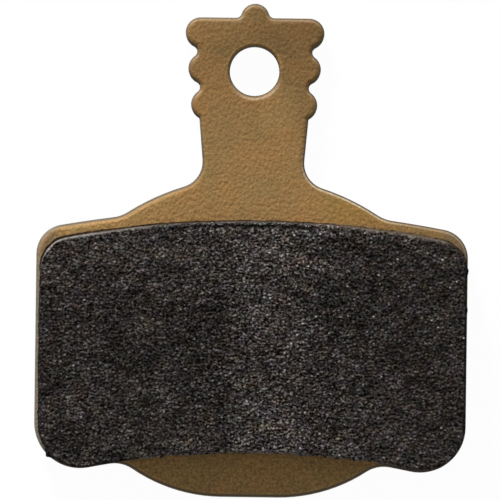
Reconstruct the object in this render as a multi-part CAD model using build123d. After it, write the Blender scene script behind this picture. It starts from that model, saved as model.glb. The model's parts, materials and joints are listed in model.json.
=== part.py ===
"""Disc brake pad: a stamped steel backing plate with a moulded friction block bonded to its front.

The pad lies on its back. +Z points out of the friction face, +Y towards the mounting tab, and the
origin is where the piston's axis meets the back of the plate.
"""
import os
from math import radians, sqrt, tan

from build123d import *

# Friction block: a piece of the rotor's band, with its middle on the piston's axis
friction_width = 32.7
friction_height = 17.7
friction_depth = 2.1
rotor_radius = 80.0
friction_upper_corner = 2.5
friction_lower_corner = 3.4
friction_taper = 3.5
friction_edge_break = 0.12

# Body of the backing plate, and how far it stands proud of the block's foot
plate_thickness = 1.9
side_margin = 0.15
shoulder_margin = 0.83
lower_margin = 0.1
plate_upper_corner = 2.25
plate_lower_corner = 3.5

# Piston backing: a crown above the block and a belly below it
crown_reach = 12.2
crown_radius = 17.6
crown_blend = 2.7
belly_radius = 12.3
belly_flat = 4.3
belly_blend = 2.4

# Neck and tab
tab_reach = 24.35
neck_width = 7.57
neck_taper = 5.0
neck_blend = 2.0
lobe_count = 3
lobe_radius = 1.16
lobe_pitch = 2.745
lobe_inset = 0.6
notch_radius = 0.45
last_notch_radius = 0.2
nub_radius = 1.09
nub_blend = 0.45
pin_hole_radius = 1.9
pin_hole_drop = 4.07

# Edges left by the press: rolled over in front, barely broken behind, and the pin hole's mouth opened
front_round = 0.45
rear_break = 0.1
pin_hole_break = 0.2

axle_y = friction_height / 2 - rotor_radius
friction_foot_radius = rotor_radius - friction_height
plate_half_width = friction_width / 2 + side_margin
pin_hole_y = tab_reach - pin_hole_drop


def rotor_band(half_width, outer_radius, inner_radius, upper_corner, lower_corner):
    """A piece of a ring about the wheel's axle, cut by two upright sides, with rounded corners."""
    ring = Pos(0, axle_y) * (Circle(outer_radius) - Circle(inner_radius))
    strip = Pos(0, axle_y + outer_radius / 2) * Rectangle(2 * half_width, outer_radius)
    band = ring & strip
    band = fillet(band.vertices().group_by(Axis.Y)[-1], upper_corner)
    return fillet(band.vertices().group_by(Axis.Y)[0], lower_corner)


def filled(outline, radius):
    """An outline with its inside corners filled to a radius, on whichever edges lie beside them."""
    return offset(offset(outline, radius), -radius)


def corner_pair(outline, point):
    """An outline's corner at a point, and the one at its mirror image across the pad's middle."""
    corners = outline.vertices()
    return [corners.sort_by_distance((side * point.X, point.Y))[0] for side in (1, -1)]


def neck_edge(y):
    """Half the neck's width at a height: it widens evenly from the crown up."""
    return neck_width / 2 + (y - crown_reach) * tan(radians(neck_taper))


def on_lobe(lobe, towards):
    """The point of a lobe's circle that faces another point."""
    return lobe + (towards - lobe).normalized() * lobe_radius


def tab_outline():
    """Neck and tab, with a nub on top and a column of round lobes down each side."""
    lobes = []
    for row in range(lobe_count):
        y = tab_reach - lobe_radius - row * lobe_pitch
        lobes.append(Vector(neck_edge(y) - lobe_inset, y))
    last = lobes[-1]

    # The neck's edge leaves the last lobe where it cuts the lobe's circle
    down = Vector(-tan(radians(neck_taper)), -1).normalized()
    to_edge = Vector(neck_edge(last.Y), last.Y) - last
    across = to_edge - down * to_edge.dot(down)
    neck_top = last + across + down * sqrt(lobe_radius**2 - across.length**2)
    neck_foot = Vector(neck_edge(0), 0)
    nub_foot = Vector(nub_radius, tab_reach)

    with BuildSketch() as tab:
        with BuildLine():
            CenterArc((0, tab_reach), nub_radius, 0, 90)
            start = Vector(lobes[0].X, tab_reach)
            Line(nub_foot, start)
            for upper, lower in zip(lobes, lobes[1:]):
                # The notch's arc touches both lobes' circles from outside
                along = lower - upper
                outward = Vector(-along.Y, along.X).normalized()
                clear = sqrt((lobe_radius + notch_radius) ** 2 - (along.length / 2) ** 2)
                notch = (upper + lower) / 2 + outward * clear
                ThreePointArc(start, upper + Vector(lobe_radius, 0), on_lobe(upper, notch))
                start = on_lobe(lower, notch)
                ThreePointArc(on_lobe(upper, notch), notch - outward * notch_radius, start)
            ThreePointArc(start, last + Vector(lobe_radius, 0), neck_top)
            Polyline(neck_top, neck_foot, (0, neck_foot.Y))
            mirror(about=Plane.YZ)
        make_face()

    outline = fillet(corner_pair(tab.sketch, neck_top), last_notch_radius)
    return fillet(corner_pair(outline, nub_foot), nub_blend)


def plate_outline():
    """The plate seen from the front, without its hole."""
    body = rotor_band(
        plate_half_width,
        rotor_radius + shoulder_margin,
        friction_foot_radius - lower_margin,
        plate_upper_corner,
        plate_lower_corner,
    )
    strip_width = 2 * (plate_half_width - plate_upper_corner)
    crown = Pos(0, crown_reach - crown_radius) * Circle(crown_radius)
    crown &= Pos(0, crown_reach / 2) * Rectangle(strip_width, crown_reach)
    belly = SlotCenterToCenter(belly_flat, 2 * belly_radius)
    belly &= Pos(0, -belly_radius / 2) * Rectangle(strip_width, belly_radius)

    outline = filled(body + crown, crown_blend) + filled(body + belly, belly_blend) + tab_outline()
    neck_root = Vector(neck_edge(crown_reach), crown_reach)
    return fillet(corner_pair(outline, neck_root), neck_blend)


def backing_plate():
    """The stamped plate: rolled front edges, a sheared wall and a pin hole through the tab."""
    plate = extrude(plate_outline(), plate_thickness)
    plate = fillet(plate.edges().group_by(Axis.Z)[-1], front_round)

    plate -= Pos(0, pin_hole_y) * extrude(Circle(pin_hole_radius), plate_thickness)
    plate = chamfer(plate.edges().group_by(Axis.Z)[0], rear_break)
    bore = plate.faces().filter_by(GeomType.CYLINDER).sort_by_distance((0, pin_hole_y))[0]
    return chamfer(bore.edges().group_by(Axis.Z)[-1], pin_hole_break)


def friction_block():
    """The moulded block: its walls draw in towards a flat face with broken edges."""
    foot = rotor_band(
        friction_width / 2,
        rotor_radius,
        friction_foot_radius,
        friction_upper_corner,
        friction_lower_corner,
    )
    seat = Plane.XY.offset(plate_thickness)
    block = extrude(seat * foot, friction_depth)
    walls = block.faces() - block.faces().filter_by(Axis.Z)
    block = draft(walls, seat, friction_taper)
    return chamfer(block.edges().group_by(Axis.Z)[-1], friction_edge_break)


os.makedirs("parts", exist_ok=True)
export_step(backing_plate(), "parts/backing_plate.step")
export_step(friction_block(), "parts/friction_block.step")
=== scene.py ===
import json
import math

import bmesh
import bpy
from mathutils import Matrix, Vector, kdtree, noise


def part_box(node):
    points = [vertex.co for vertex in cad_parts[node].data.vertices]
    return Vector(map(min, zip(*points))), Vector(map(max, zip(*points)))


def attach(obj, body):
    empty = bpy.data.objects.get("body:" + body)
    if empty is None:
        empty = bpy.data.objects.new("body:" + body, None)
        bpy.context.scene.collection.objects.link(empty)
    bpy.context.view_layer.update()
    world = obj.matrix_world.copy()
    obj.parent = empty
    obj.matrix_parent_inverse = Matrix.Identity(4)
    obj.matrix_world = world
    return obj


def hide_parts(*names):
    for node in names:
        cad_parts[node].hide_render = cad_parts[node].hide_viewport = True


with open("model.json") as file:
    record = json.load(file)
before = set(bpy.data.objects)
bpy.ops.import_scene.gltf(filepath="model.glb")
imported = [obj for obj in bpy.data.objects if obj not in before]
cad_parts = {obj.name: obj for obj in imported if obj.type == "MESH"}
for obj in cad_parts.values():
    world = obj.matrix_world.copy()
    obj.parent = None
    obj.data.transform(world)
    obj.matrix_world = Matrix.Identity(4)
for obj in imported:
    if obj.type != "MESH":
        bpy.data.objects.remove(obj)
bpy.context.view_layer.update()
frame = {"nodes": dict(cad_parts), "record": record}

# Backing plate: a blank of 1.9 mm steel sheet. The press rolls its front edge over and leaves a dull
# sheared wall below it. Bronze paint covers it; the edges that face away from the lamp are painted dark as
# shade, and those that face it carry painted highlights.
MM = 0.001
WELD = 0.001 * MM
FLAT_ANGLE = math.radians(0.5)
PLATE_CREASE = math.radians(30)
pin_hole = next(mount for mount in frame["record"]["mounts"] if mount["name"] == "pin_hole")
PIN_PLACE = Vector(pin_hole["pos_m"][:2])
PIN_RADIUS = pin_hole["dims"]["r_mm"]
MOUTH_LEVEL = 1.5 * MM
MOUTH_REACH = 2.3 * MM
MOUTH_ROUND = 0.06 * MM
LEVEL_WITHIN = 0.01 * MM
PEEL_DEPTH = 0.085 * MM
PAINT_SHINE = 0.12
BRONZE_OLIVE = (0.247, 0.154, 0.0570, 1)
BRONZE_ORANGE = (0.292, 0.158, 0.0560, 1)
GOLDEN_CAST = (0.96, 0.98, 0.80, 1)
SHEARED_WALL = (0.120, 0.094, 0.062, 1)
SCORED_WALL = (0.112, 0.080, 0.044, 1)
TORN_WALL = (0.076, 0.054, 0.031, 1)
PALE_WALL = (0.175, 0.147, 0.112, 1)
# Painted shade and painted highlights for edges, then a painted highlight for the pin hole's rim:
EDGE_SHADE = (0.044, 0.031, 0.013, 1)
EDGE_HIGHLIGHT = (0.500, 0.410, 0.290, 1)
PIN_HIGHLIGHT = (0.530, 0.375, 0.220, 1)


def new_piece(name):
    """An object with an empty mesh, in the scene."""
    piece = bpy.data.objects.new(name, bpy.data.meshes.new(name))
    bpy.context.scene.collection.objects.link(piece)
    return piece


def merged_copy(node):
    """A bmesh of a CAD node with its loose triangles joined along their edges."""
    copy = bmesh.new()
    copy.from_mesh(node.data)
    bmesh.ops.remove_doubles(copy, verts=copy.verts, dist=WELD)
    return copy


def smooth_shade(form, crease):
    """Shades every face of a bmesh smooth, and keeps edges that turn by more than a crease sharp."""
    for face in form.faces:
        face.smooth = True
    for edge in form.edges:
        edge.smooth = edge.calc_face_angle() < crease


def link_nodes(material):
    """A function that adds a node to a material, with its settings, and links or sets its inputs.

    An input goes by its name, or by i and its number where names repeat.
    """
    material.use_nodes = True
    tree = material.node_tree
    tree.nodes.clear()

    def add(kind, settings=None, **inputs):
        node = tree.nodes.new("ShaderNode" + kind)
        for name, value in (settings or {}).items():
            setattr(node, name, value)
        for name, value in inputs.items():
            key = int(name[1:]) if name[0] == "i" and name[1:].isdigit() else name.replace("_", " ")
            if isinstance(value, bpy.types.NodeSocket):
                tree.links.new(value, node.inputs[key])
            else:
                node.inputs[key].default_value = value
        return node.outputs

    return add


def millimetres(add):
    """Where a point lies on the object, in millimetres."""
    return add("Mapping", Vector=add("TexCoord")["Object"], Scale=(1 / MM, 1 / MM, 1 / MM))["Vector"]


def flattened(add, place):
    """The point of the plate's back that a place lies over."""
    return add("VectorMath", {"operation": "MULTIPLY"}, i0=place, i1=(1, 1, 0))["Vector"]


def distance(add, place, centre):
    """How far a place is from a centre."""
    return add("VectorMath", {"operation": "DISTANCE"}, i0=place, i1=centre)["Value"]


def speckle(add, place, scale, detail=0.0, **more):
    """Soft noise, with a scale per millimetre."""
    return add("TexNoise", Vector=place, Scale=scale, Detail=detail, **more)["Fac"]


def maths(add, operation, first, second=0.0):
    """One sum of two values."""
    return add("Math", {"operation": operation}, i0=first, i1=second)["Value"]


def total(add, *terms):
    """Several values added up."""
    result = terms[0]
    for term in terms[1:]:
        result = maths(add, "ADD", result, term)
    return result


def product(add, *factors):
    """Several values multiplied together."""
    result = factors[0]
    for factor in factors[1:]:
        result = maths(add, "MULTIPLY", result, factor)
    return result


def lifted(add, *factors):
    """One, and the factors' product more."""
    return total(add, 1.0, product(add, *factors))


def slope(add, value, start, end, first, last, kind="LINEAR"):
    """A value between start and end, turned evenly into one between first and last."""
    spans = dict(From_Min=start, From_Max=end, To_Min=first, To_Max=last)
    return add("MapRange", {"interpolation_type": kind}, Value=value, **spans)["Result"]


def fade(add, value, start, end, first=0.0, last=1.0):
    """A value between start and end, turned softly into one between first and last."""
    return slope(add, value, start, end, first, last, "SMOOTHSTEP")


def band(add, value, rise, top, fall, end):
    """How far a value lies in a band: 0 before rise, 1 from top to fall, and 0 after end."""
    return product(add, fade(add, value, rise, top), fade(add, value, end, fall))


def mixed(add, share, first, second, blend="MIX"):
    """Two colours, the second laid over the first."""
    return add("Mix", {"data_type": "RGBA", "blend_type": blend}, i0=share, i6=first, i7=second)[2]


def ramp(add, value, *stops):
    """A value turned into a colour by a row of stops."""
    colour = add("ValToRGB", Fac=value)["Color"]
    elements = colour.node.color_ramp.elements
    for element, (position, shade) in zip(elements, (stops[0], stops[-1])):
        element.position = position
        element.color = shade
    for position, shade in stops[1:-1]:
        elements.new(position).color = shade
    return colour


plate = new_piece("plate_painted")
plate_form = merged_copy(frame["nodes"]["backing_plate"])
bmesh.ops.dissolve_limit(plate_form, angle_limit=FLAT_ANGLE, verts=plate_form.verts, edges=plate_form.edges)
mouth = []
for edge in plate_form.edges:
    spots = [vert.co for vert in edge.verts]
    by_hole = all(spot.z > MOUTH_LEVEL and (spot.xy - PIN_PLACE).length < MOUTH_REACH for spot in spots)
    if by_hole and abs(spots[0].z - spots[1].z) < LEVEL_WITHIN:
        mouth.append(edge)
soft = dict(offset_type="OFFSET", affect="EDGES", segments=3, profile=0.5, material=-1)
bmesh.ops.bevel(plate_form, geom=mouth, offset=MOUTH_ROUND, **soft)
smooth_shade(plate_form, PLATE_CREASE)
plate_form.to_mesh(plate.data)
plate_form.free()
plate.data.attributes.remove(plate.data.attributes["custom_normal"])
flat = plate.modifiers.new("flat_faces_stay_flat", "WEIGHTED_NORMAL")
flat.keep_sharp = True

bronze = bpy.data.materials.new("bronze_paint")
add = link_nodes(bronze)
place = millimetres(add)
level = flattened(add, place)
x, y, z = add("SeparateXYZ", Vector=place)
facing_x, facing_y, facing_z = add("SeparateXYZ", Vector=add("NewGeometry")["Normal"])
lean = maths(add, "ABSOLUTE", facing_z)
off_middle = maths(add, "ABSOLUTE", x)
from_pin = distance(add, level, (PIN_PLACE.x / MM, PIN_PLACE.y / MM, 0))
from_pin = maths(add, "SUBTRACT", from_pin, PIN_RADIUS)

# Regions of the plate, each from 0 outside to 1 inside
rolled = fade(add, z, 1.2, 1.4)
upper = fade(add, y, 2, 7)
left = product(add, upper, fade(add, x, -3, -7))
right = product(add, upper, fade(add, x, -1, 6))
body = fade(add, y, 15, 12)
tab = fade(add, y, 14, 17)
belly = fade(add, y, -7, -10)
sides = product(add, fade(add, off_middle, 9, 12), fade(add, y, 6, 4))
left_side = product(add, sides, fade(add, x, 1, -1), fade(add, y, -9.5, -8.9))
corners = product(add, rolled, fade(add, y, 4, 5.5))
left_corner = product(add, corners, fade(add, x, -14.4, -15.4))
right_corner = product(add, corners, fade(add, x, 14.2, 15.4))
below_pin = product(add, fade(add, y, 20.5, 19.5), fade(add, from_pin, 0.25, 0.10))

# Paint: two bronzes in soft clouds, a fine fleck, and painted light and shade that make it lighter or darker
# by region
peel = speckle(add, add("Mapping", Vector=place, Scale=(1, 0.76, 1))["Vector"], 4.3, 1.0)
fleck = speckle(add, place, 5.4, 1.0)
# The clouds turn more olive on the belly, a painted tint of the cooler shade that the block casts there.
clouds = maths(add, "SUBTRACT", speckle(add, place, 0.35, 2.0), product(add, belly, 0.12))
paint = ramp(add, clouds, (0.33, BRONZE_OLIVE), (0.67, BRONZE_ORANGE))
contrast = total(add, 0.80, product(add, belly, 0.7))
grain = lifted(add, maths(add, "SUBTRACT", fleck, 0.5), contrast)
left_roll = product(add, left, body, band(add, lean, 0.72, 0.93, 0.99, 1.0))
right_roll = product(add, right, body, band(add, lean, 0.80, 0.90, 0.97, 0.999))
# Painted light and shade: lighter to the left, on the crown and the belly, darker on the tab, to the right
# and at the corners, lighter or darker round the pin hole's rim, with the rolled edges' highlights widened
# on the left and dimmed on the right
painted_light_and_shade = total(
    add,
    fade(add, y, 12, 25, 1.0, 0.70),
    product(add, tab, fade(add, x, -1, 4, 0.0, -0.11)),
    product(add, fade(add, y, 22, 23), fade(add, x, -1, 0.5, 0.09, 0.0)),
    product(add, upper, fade(add, y, 9, 13, 0.09, 0.0)),
    product(add, upper, fade(add, x, -14, -3, 0.17, 0.0)),
    product(add, upper, fade(add, x, 7, 13, 0.0, -0.18)),
    product(add, left_roll, fade(add, x, -14.5, -12.5, 0.18, 0.34)),
    product(add, right_roll, -0.20),
    product(add, left_corner, fade(add, lean, 0.6, 0.8, 0.0, -0.44)),
    product(add, right_corner, fade(add, y, 5.7, 7.4, -0.72, -0.18)),
    product(add, belly, 0.07),
    product(add, band(add, x, 0, 1, 2.4, 3.8), band(add, y, 15.2, 16.3, 18.6, 19.6), 0.16),
    product(add, below_pin, fade(add, off_middle, 0.4, 1.2, -0.42, -0.20)),
    product(add, fade(add, from_pin, 0.34, 0.18), fade(add, y, 20, 21, 0.0, 0.40)),
    product(add, band(add, from_pin, 0.1, 0.3, 1.2, 2.0), fade(add, y, 20.5, 22, 0.0, -0.07)),
)
paint = mixed(add, 1.0, paint, product(add, grain, painted_light_and_shade), "MULTIPLY")
golden = product(add, band(add, x, 4, 7, 10, 12), fade(add, y, 8, 9.5))
paint = mixed(add, golden, paint, mixed(add, 1.0, paint, GOLDEN_CAST, "MULTIPLY"))
paint = mixed(add, product(add, total(add, left_corner, right_corner), 0.25), paint, PALE_WALL)
# Painted highlight on the lower rim of the pin hole, which faces the lamp.
pin_highlight = product(add, band(add, from_pin, 0.16, 0.24, 0.26, 0.43), fade(add, y, 18, 20, 0.85, 0.0))
pin_highlight = product(add, pin_highlight, fade(add, x, -1.6, -0.4, 0.35, 1.0))
paint = mixed(add, pin_highlight, paint, PIN_HIGHLIGHT)

# Sheared wall: torn below, scored above that. Its dark colour reaches up the roll as painted shade, and on
# the left-facing walls it is a pale painted highlight
bend = total(
    add,
    fade(add, y, 13, 16, 0.88, 0.80),
    product(add, left, body, 0.05),
    product(add, right, -0.06),
    product(add, belly, 0.10),
    product(add, sides, rolled, 0.22),
)
# The wall colour covers the sheared wall, and the steep part of the roll as painted shade, most on the belly
# and the sides.
sheared_and_edge_shade = slope(add, lean, maths(add, "SUBTRACT", bend, 0.28), bend, 1.0, 0.0)
# Pale painted highlight on the walls of the left side and corner and on the tab's left-facing edges, which
# face the lamp.
pale_highlight = maths(add, "MAXIMUM", left_side, left_corner)
pale_highlight = maths(add, "MAXIMUM", pale_highlight, product(add, tab, fade(add, facing_x, -0.9, -0.5, 0.5, 0.0)))
scored = speckle(add, add("Mapping", Vector=place, Scale=(12, 12, 0.8))["Vector"], 1.0, 1.0)
wander = speckle(add, level, 1.3, 2.0)
torn = fade(add, total(add, z, wander, product(add, scored, 0.3)), 1.55, 1.35)
wall = mixed(add, product(add, torn, fade(add, fleck, 0.3, 0.7, 0.7, 1.0)), SCORED_WALL, TORN_WALL)
wall = mixed(add, rolled, wall, mixed(add, pale_highlight, SHEARED_WALL, PALE_WALL))
# Painted light on the pin hole's bore, which lies in shade.
wall = mixed(add, fade(add, from_pin, 0.05, 0.0), wall, PALE_WALL)
# The wall's scored grain, with painted shade on the right's upper walls and corner and low on the sides, and
# painted light on the belly's walls.
wall_grain_and_painted_light = total(
    add,
    fade(add, scored, 0.3, 0.7, 0.88, 1.12),
    product(add, right, fade(add, facing_y, 0.1, 0.5, 0.0, -0.35)),
    product(add, right_corner, fade(add, y, 5.7, 7.2, -0.55, 0.0)),
    product(add, belly, 0.6),
    product(add, sides, rolled, fade(add, y, -9.6, -8.9, -1.1, 0.0)),
)
wall = mixed(add, 1.0, wall, wall_grain_and_painted_light, "MULTIPLY")
paint = mixed(add, sheared_and_edge_shade, paint, wall)

# Edges: painted highlights where they face the lamp, and painted shade where they face away from it
crown_line = product(add, right, body, fade(add, x, 9, 12, 0.9, 0.3))
crown_line = product(add, crown_line, band(add, lean, 0.62, 0.75, 0.84, 0.95))
tab_line = product(add, tab, fade(add, facing_y, 0.1, 0.5, 0.0, 0.3))
tab_line = product(add, tab_line, fade(add, facing_x, -0.1, -0.4, 1.0, 2.0))
left_line = product(add, left, body, 0.15)
soft_line = product(add, total(add, left_line, tab_line), band(add, lean, 0.66, 0.78, 0.87, 0.97))
# Painted highlight on the edges that face the lamp.
edge_highlight = product(add, total(add, crown_line, soft_line), peel, 1.4)
paint = mixed(add, edge_highlight, paint, EDGE_HIGHLIGHT)
# Painted shade on the belly's and the tab's edges that face away from the lamp, and at the top of the pin
# hole's bore.
belly_line = product(add, belly, band(add, lean, 0.46, 0.68, 0.82, 0.96))
lobe_line = product(add, tab, fade(add, lean, 0.82, 0.50), fade(add, from_pin, 0.3, 0.5))
edge_shade = product(add, total(add, belly_line, lobe_line), rolled, fade(add, facing_y, -0.15, -0.55, 0.0, 0.7))
mouth_edge = product(add, fade(add, from_pin, 0.02, 0.06, 0.8, 0.0), fade(add, z, 1.4, 1.6))
paint = mixed(add, maths(add, "MAXIMUM", edge_shade, mouth_edge), paint, EDGE_SHADE)

gloss = slope(add, peel, 0.3, 0.7, 0.60, 0.76)
bump = add("Bump", Strength=1.0, Distance=PEEL_DEPTH, Height=peel)["Normal"]
finish = dict(Base_Color=paint, Roughness=gloss, Specular_IOR_Level=PAINT_SHINE, Normal=bump)
add("OutputMaterial", Surface=add("BsdfPrincipled", **finish)["BSDF"])
plate.data.materials.append(bronze)
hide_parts("backing_plate")
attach(plate, "root")

# Friction block: resin, fibre and mineral grit, pressed and cured on the plate. Its face is coarse and
# open, its walls crumble a little at the edges, and a line of resin is squeezed out round its foot, dark
# as resin and as painted shadow.
block_low, block_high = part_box("friction_block")
GRIT_SPACING = 0.1 * MM
GRIT_CREASE = math.radians(60)
GRIT_TURN = Matrix.Rotation(math.radians(37), 3, Vector((1.0, 1.6, 0.7)))
LUMP_START = Vector((7, 3, 1))
CRUMB_START = Vector((2, 9, 4))
RELIEF_DEPTH = 0.20 * MM
# Depths and reaches of the grit, in millimetres
FACE_SINK, FACE_GRIT, FACE_LUMPS = 0.07, 0.06, 0.025
WALL_SINK, WALL_GRIT, WALL_LUMPS = 0.02, 0.05, 0.02
LOWER_SINK, LOWER_GRIT, LOWER_CHIPS = 0.05, 0.14, 0.28
GROOVE_DEPTH, GROOVE_INSET, GROOVE_WIDTH = 0.08, 0.24, 0.12
CRUMB_DEPTH, CRUMB_REACH = 0.22, 0.35
# Centre, reach and height of each stray grain at the edge, in millimetres
STRAY_GRAINS = (
    (Vector((16.2, 5.2, 3.7)), 0.5, 0.15),
    (Vector((16.2, 2.2, 3.5)), 0.4, 0.09),
    (Vector((-15.36, -8.99, 3.3)), 0.5, 0.38),
)
CORNER_IN = 0.11 * MM
CORNER_DOWN = 0.06 * MM
FOOT_RISE = 0.06 * MM
FOOT_DROP = 0.14 * MM
BEAD_WIDTH = 0.15 * MM
BOND_SHIFT = (0.10 * MM, 0, 0)
BOND_TURN = math.radians(0.2)
# The block is a piece of the rotor's band, in millimetres
ROTOR_RADIUS = 80
AXLE_Y = -71.15
BLOCK_HEIGHT = 17.7
MIDDLE_X = 1.3
RESIN_AND_SHADE = (0.005, 0.0042, 0.0036, 1)
BEAD_SHADOW = (0.040, 0.025, 0.012, 1)
PAINTED_LIGHT_LIFT = (1.7, 1.6, 1.5, 1)
FLAKE_AND_GLINT = (0.230, 0.220, 0.210, 1)
DUST_AND_HIGHLIGHT = (0.150, 0.136, 0.118, 1)
PALE_DUST_AND_HIGHLIGHT = (0.245, 0.225, 0.205, 1)
WARM_DUST_AND_HIGHLIGHT = (0.135, 0.108, 0.084, 1)
PALE_BEAD_SHADOW = (0.096, 0.068, 0.042, 1)
COMPOUND_SHINE = 0.03
COMPOUND_ROUGHNESS = 0.8


def share(value, start, end):
    """How far a value has come from start to end, between 0 and 1."""
    return min(max((value - start) / (end - start), 0), 1)


def open_rim(form):
    """The open edges of a bmesh."""
    return [edge for edge in form.edges if edge.is_boundary]


def drawn_rim(form):
    """The new vertices of a skirt that is drawn out of a bmesh's open rim."""
    skirt = bmesh.ops.extrude_edge_only(form, edges=open_rim(form))["geom"]
    return [item for item in skirt if isinstance(item, bmesh.types.BMVert)]


block = new_piece("block_compound")
block_form = merged_copy(frame["nodes"]["friction_block"])
block_form.to_mesh(block.data)
block_form.free()
fine = block.modifiers.new("fine_skin", "REMESH")
fine.mode = "VOXEL"
fine.voxel_size = GRIT_SPACING
skinned = bpy.data.meshes.new_from_object(block.evaluated_get(bpy.context.evaluated_depsgraph_get()))
block.modifiers.clear()

block_form = bmesh.new()
block_form.from_mesh(skinned)
whole = block_form.verts[:] + block_form.edges[:] + block_form.faces[:]
foot_plane = Vector((0, 0, block_low.z + FOOT_RISE))
bmesh.ops.bisect_plane(block_form, geom=whole, plane_co=foot_plane, plane_no=(0, 0, 1), clear_inner=True)
block_form.normal_update()
edge_spots = [vert.co.copy() for vert in block_form.verts if 0.25 < vert.normal.z < 0.9]
edge_tree = kdtree.KDTree(len(edge_spots))
for index, spot in enumerate(edge_spots):
    edge_tree.insert(spot, index)
edge_tree.balance()

for vert in block_form.verts:
    spot = vert.co / MM
    turned = GRIT_TURN @ spot
    from_edge = edge_tree.find(vert.co)[2] / MM
    coarse = noise.noise(turned * 2.7)
    lumps = noise.noise(turned * 0.8 + LUMP_START)
    crumb = max(noise.noise(turned * 1.9 + CRUMB_START) - 0.1, 0)
    if vert.normal.z > 0.9:
        sink = FACE_SINK + FACE_GRIT * coarse + FACE_LUMPS * lumps
        sink *= min(0.25 + from_edge / 0.3, 1)
        if spot.y > 5:
            groove = GROOVE_DEPTH * math.exp(-((from_edge - GROOVE_INSET) / GROOVE_WIDTH) ** 2)
            sink += groove * max(1 - ((spot.x - 0.9) / 5) ** 2, 0)
    else:
        sink = WALL_SINK + WALL_GRIT * coarse + WALL_LUMPS * lumps
        if spot.y < -4:
            sink += LOWER_SINK + LOWER_GRIT * noise.noise(turned * 3.3)
            sink += LOWER_CHIPS * noise.noise(turned * 2.3) * share(abs(spot.x), 9, 8)
    sink += CRUMB_DEPTH * crumb * share(from_edge, CRUMB_REACH, 0)
    sink = max(sink, 0 if abs(spot.x) > 8 or spot.y > 0 else -0.12)
    for centre, reach, height in STRAY_GRAINS:
        sink -= height * share((spot - centre).length, reach, 0) ** 0.7
    vert.co -= vert.normal * sink * MM
    vert.co.x += CORNER_IN * share(spot.x, -12, -16) * share(spot.y, 1, 6)
    vert.co.y -= CORNER_DOWN * share(spot.x, -7, -11) * share(spot.y, 1, 6)
    vert.co.z = min(vert.co.z, block_high.z)

for vert in drawn_rim(block_form):
    spot = vert.co / MM
    wall_vert = next(edge.other_vert(vert) for edge in vert.link_edges if not edge.is_boundary)
    outward = Vector((wall_vert.normal.x, wall_vert.normal.y, 0)).normalized()
    swell = 0.55 + 0.3 * noise.noise(spot * 0.7) + 0.03 * max(-spot.x, 0) + 0.02 * max(spot.x, 0)
    swell += 0.06 * max(-spot.x - 12, 0)
    swell *= share(spot.y, 4, 6)
    swell = max(swell, 0.4 * share(spot.x, -15, -16))
    vert.co += outward * min(max(swell, 0.05), 1.15) * BEAD_WIDTH
    vert.co.z = block_low.z + 0.5 * FOOT_RISE
for vert in drawn_rim(block_form):
    vert.co.z = block_low.z - FOOT_DROP
bmesh.ops.edgeloop_fill(block_form, edges=open_rim(block_form))
bmesh.ops.recalc_face_normals(block_form, faces=block_form.faces)
bond = Matrix.Rotation(BOND_TURN, 3, "Z")
bmesh.ops.rotate(block_form, verts=block_form.verts, cent=(0, 0, 0), matrix=bond)
bmesh.ops.translate(block_form, verts=block_form.verts, vec=BOND_SHIFT)
smooth_shade(block_form, GRIT_CREASE)
block_form.to_mesh(block.data)
block_form.free()

compound = bpy.data.materials.new("friction_compound")
add = link_nodes(compound)
place = millimetres(add)
loose = add("Mapping", Vector=place, Scale=(0.85, 1.02, 1), Rotation=(0.5, 0.35, 0.15))["Vector"]
streak = add("Mapping", Vector=place, Scale=(0.5, 1, 1), Rotation=(0.3, 0.2, 0.1))["Vector"]
x, y, z = add("SeparateXYZ", Vector=place)
lean = add("SeparateXYZ", Vector=add("NewGeometry")["Normal"])["Z"]
from_middle = maths(add, "ABSOLUTE", maths(add, "SUBTRACT", x, MIDDLE_X))
from_axle = distance(add, flattened(add, place), (0, AXLE_Y, 0))
below_top = maths(add, "SUBTRACT", ROTOR_RADIUS, from_axle)

# Grit: dark resin to grey mineral, with a little colour of its own, and bright flakes that are partly
# painted glints
grit = speckle(add, loose, 6.7, Distortion=0.6)
grain = add("SeparateColor", Color=add("TexVoronoi", Vector=loose, Scale=5.0)["Color"])["Red"]
mix = total(add, product(add, grit, 0.88), product(add, grain, 0.12), -0.5)
contrast = product(add, fade(add, from_middle, 3, 9, 1.16, 0.95), fade(add, x, 9, 12, 1.0, 0.90))
shade = ramp(
    add,
    total(add, product(add, mix, contrast), 0.5),
    (0.24, (0.0012, 0.0009, 0.0007, 1)),
    (0.40, (0.0110, 0.0088, 0.0078, 1)),
    (0.50, (0.0236, 0.0199, 0.0182, 1)),
    (0.62, (0.0463, 0.0408, 0.0383, 1)),
    (0.82, (0.1260, 0.1155, 0.1118, 1)),
)
hue = ramp(
    add,
    speckle(add, loose, 1.1, 1.0),
    (0.30, (0.95, 1.00, 1.07, 1)),
    (0.43, (0.99, 1.00, 1.02, 1)),
    (0.56, (1.01, 1.00, 0.98, 1)),
    (0.70, (1.10, 1.01, 0.86, 1)),
)
shade = mixed(add, 1.0, shade, hue, "MULTIPLY")
oxide = speckle(add, loose, 1.4, 1.0)
tint = ramp(add, oxide, (0.32, (1.04, 0.96, 1.05, 1)), (0.68, (0.96, 1.04, 0.95, 1)))
shade = mixed(add, 1.0, shade, tint, "MULTIPLY")
# Bright flakes: pale mineral flakes, and painted glints in place of the compound's shine.
flake = add("TexVoronoi", Vector=loose, Scale=2.6)
flakes_and_glints = fade(add, add("SeparateColor", Color=flake["Color"])["Red"], 0.76, 0.92)
flakes_and_glints = product(add, flakes_and_glints, fade(add, flake["Distance"], 0.12, 0.26, 0.95, 0.0))
flakes_and_glints = product(add, flakes_and_glints, fade(add, x, -6, 4, 0.75, 1.1))
shade = mixed(add, flakes_and_glints, shade, FLAKE_AND_GLINT)

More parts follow.
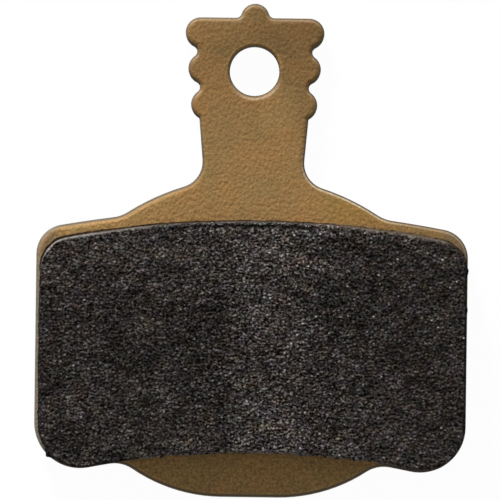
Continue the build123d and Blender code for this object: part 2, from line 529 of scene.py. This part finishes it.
# Tone: painted light makes the face lighter down the middle and along the top, with streaky clumps and broad
# clouds of its own
painted_light_and_clumps = product(
    add,
    lifted(add, band(add, x, 4.5, 5.3, 9, 10.5), fade(add, below_top, 0.6, 1.1, 0.8, 0.0)),
    lifted(add, band(add, x, -2.4, -1, 1, 2.4), band(add, y, -1, 0.5, 4, 5), 0.4),
    lifted(add, band(add, x, -3.2, -2.2, -1.2, -0.6), fade(add, y, -5.5, -4, -0.3, 0.0)),
    fade(add, from_middle, 2.5, 3.6, 1.36, 1.0),
    fade(add, x, 5, 10, 1.0, 0.93),
    fade(add, y, -8, -2, 1.04, 0.88),
    fade(add, y, 2, 8, 1.0, 1.4),
    lifted(add, fade(add, x, -4, -1, 0.14, 0.0), fade(add, y, 1, 4)),
    lifted(add, band(add, x, 5, 7, 10, 12), fade(add, y, -6, -2, 0.16, 0.0)),
    slope(add, speckle(add, streak, 1.6, 1.0), 0.3, 0.7, 0.59, 1.48),
    slope(add, speckle(add, streak, 0.3, 2.0), 0.3, 0.7, 0.76, 1.26),
)
shade = mixed(add, 1.0, shade, painted_light_and_clumps, "MULTIPLY")

# Walls: dark resin and painted shade on most of them, painted light on the open grit along the lower edge
# with chips there, and dust with a painted highlight on the upper wall, which faces the lamp
wall = slope(add, lean, 0.45, 0.92, 1.0, 0.0)
upper = fade(add, y, 4.5, 6.5)
lower_edge = fade(add, below_top, BLOCK_HEIGHT - 0.4, BLOCK_HEIGHT - 0.1)
lower_edge = product(add, lower_edge, fade(add, from_middle, 11, 9))
lower_right = product(add, fade(add, x, 5, 9), fade(add, y, -2, -5))
# Painted light on the walls along the lower edge and the lower right, which lie in shade.
painted_light_wall = product(add, wall, maths(add, "MAXIMUM", lower_edge, lower_right))
shade = mixed(add, painted_light_wall, shade, mixed(add, 1.0, shade, PAINTED_LIGHT_LIFT, "MULTIPLY"))
# Dark resin and painted shade on the walls below the upper wall, less of it along the lower edge and the
# lower right.
resin_and_shade = total(add, 0.6, product(add, lower_edge, -0.6), product(add, lower_right, -0.4))
shade = mixed(add, product(add, wall, maths(add, "SUBTRACT", 1.0, upper), resin_and_shade), shade, RESIN_AND_SHADE)
chips = fade(add, speckle(add, loose, 3.4), 0.52, 0.66, 0.0, 0.55)
shade = mixed(add, product(add, lower_edge, chips), shade, FLAKE_AND_GLINT)
# Painted shade on the right wall, which faces away from the lamp.
shade = mixed(add, fade(add, x, 16.10, 16.24, 0.0, 0.8), shade, RESIN_AND_SHADE)
broken = fade(add, speckle(add, place, 0.9, 1.0), 0.42, 0.60)
broken = maths(add, "MAXIMUM", broken, fade(add, x, -6, -9))
broken = maths(add, "MAXIMUM", broken, fade(add, x, 10, 12, 0.0, 0.8))
# Dust and a painted highlight on the upper wall, which faces the lamp, and on its top edge at the right.
dust_and_highlight = maths(add, "MAXIMUM", fade(add, x, -8, 4, 1.0, 0.35), fade(add, x, 5.5, 8, 0.0, 0.8))
dust_and_highlight = product(add, dust_and_highlight, upper, broken, grit, 1.9)
dust_and_highlight = product(add, dust_and_highlight, fade(add, x, 15.4, 14.4), fade(add, z, 2.6, 3.6, 0.35, 1.0))
brim = product(add, fade(add, below_top, 0.22, 0.34, 0.8, 0.0), fade(add, x, 7, 10))
dust_highlight_colour = mixed(add, fade(add, x, -11, -13), DUST_AND_HIGHLIGHT, PALE_DUST_AND_HIGHLIGHT)
dust_highlight_colour = mixed(add, fade(add, x, 4, 7), dust_highlight_colour, WARM_DUST_AND_HIGHLIGHT)
shade = mixed(add, product(add, dust_and_highlight, maths(add, "MAXIMUM", wall, brim)), shade, dust_highlight_colour)

# Squeezed resin round the foot, black as resin and brown as painted shadow; painted shade in the groove
# behind the upper edge
# The bead and the foot of the upper wall: black resin, with brown painted shadow along the upper wall and
# the lower edge, paler on the right.
shadowed_bead = maths(add, "MAXIMUM", product(add, upper, fade(add, x, -14, -11, 0.3, 1.0)), lower_edge)
bead_resin_and_shadow = mixed(add, shadowed_bead, RESIN_AND_SHADE, BEAD_SHADOW)
bead_resin_and_shadow = mixed(add, product(add, upper, band(add, x, 4, 7, 14.2, 15.2)), bead_resin_and_shadow, PALE_BEAD_SHADOW)
bead = fade(add, z, 2.05, 1.94)
smeared = product(add, wall, upper, fade(add, z, 2.4, 3.4, 0.6, 0.0))
shade = mixed(add, maths(add, "MAXIMUM", bead, smeared), shade, bead_resin_and_shadow)
# Painted shade in the groove behind the upper edge.
groove = product(add, band(add, below_top, 0.28, 0.40, 0.48, 0.60), band(add, x, -3.6, -3.0, 4.4, 5.0), 0.75)
shade = mixed(add, groove, shade, RESIN_AND_SHADE)

bump = add("Bump", Strength=1.0, Distance=RELIEF_DEPTH, Height=speckle(add, loose, 4.8))["Normal"]
finish = dict(Base_Color=shade, Roughness=COMPOUND_ROUGHNESS, Specular_IOR_Level=COMPOUND_SHINE, Normal=bump)
add("OutputMaterial", Surface=add("BsdfPrincipled", **finish)["BSDF"])
block.data.materials.append(compound)
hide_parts("friction_block")
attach(block, "root")

# Studio: the pad lies on a white table. A soft lamp stands low beyond the tab, a little to the left, so the
# block shades the belly, and a dim white room fills the rest.
TABLE_SIZE = 3
TABLE_DROP = 0.05 * MM
TABLE_PAINT = (0.9, 0.9, 0.9, 1)
TABLE_GLOW = 0.97
WHITE = (1, 1, 1, 1)
floor = new_piece("table_top")
floor_form = bmesh.new()
lowered = Matrix.Translation((0, 0, -TABLE_DROP))
bmesh.ops.create_grid(floor_form, x_segments=1, y_segments=1, size=TABLE_SIZE, matrix=lowered)
floor_form.to_mesh(floor.data)
floor_form.free()
white = bpy.data.materials.new("white_table")
add = link_nodes(white)
ray = add("LightPath")
seen = maths(add, "MAXIMUM", ray["Is Camera Ray"], ray["Is Glossy Ray"])
seen = maths(add, "MAXIMUM", seen, ray["Is Transmission Ray"])
matt = add("BsdfDiffuse", Color=TABLE_PAINT)["BSDF"]
glow = add("Emission", Color=WHITE, Strength=1.0)["Emission"]
top = add("MixShader", i0=maths(add, "MULTIPLY", seen, TABLE_GLOW), i1=matt, i2=glow)["Shader"]
add("OutputMaterial", Surface=top)
floor.data.materials.append(white)

ROOM_STRENGTH = 0.42
room = bpy.data.worlds.new("white_room")
room.use_nodes = True
room.node_tree.nodes["Background"].inputs["Color"].default_value = WHITE
room.node_tree.nodes["Background"].inputs["Strength"].default_value = ROOM_STRENGTH
bpy.context.scene.world = room

KEY_RISE = math.radians(26)
KEY_LEFT = math.radians(18)
KEY_DISTANCE = 0.5
KEY_SIZE = 0.1
KEY_POWER = 3.4
key_level = Vector((-math.sin(KEY_LEFT), math.cos(KEY_LEFT), 0)) * math.cos(KEY_RISE)
key_from = key_level + Vector((0, 0, math.sin(KEY_RISE)))
key = bpy.data.objects.new("low_lamp", bpy.data.lights.new("low_lamp", "AREA"))
key.data.shape = "DISK"
key.data.size = KEY_SIZE
key.data.energy = KEY_POWER
key.location = key_from * KEY_DISTANCE
key.rotation_euler = key_from.to_track_quat("Z", "Y").to_euler()
bpy.context.scene.collection.objects.link(key)

CAMERA_PLACE = Vector((-0.171, 6.605, 300)) * MM
CAMERA_TURN = math.radians(0.757)
CAMERA_LENS = 281.1
CAMERA_SENSOR = 36
camera = bpy.data.objects.new("camera", bpy.data.cameras.new("camera"))
camera.data.sensor_width = CAMERA_SENSOR
camera.data.lens = CAMERA_LENS
camera.location = CAMERA_PLACE
camera.rotation_euler = (0, 0, CAMERA_TURN)
bpy.context.scene.collection.objects.link(camera)
bpy.context.scene.camera = camera
bpy.context.scene.view_settings.view_transform = "Standard"
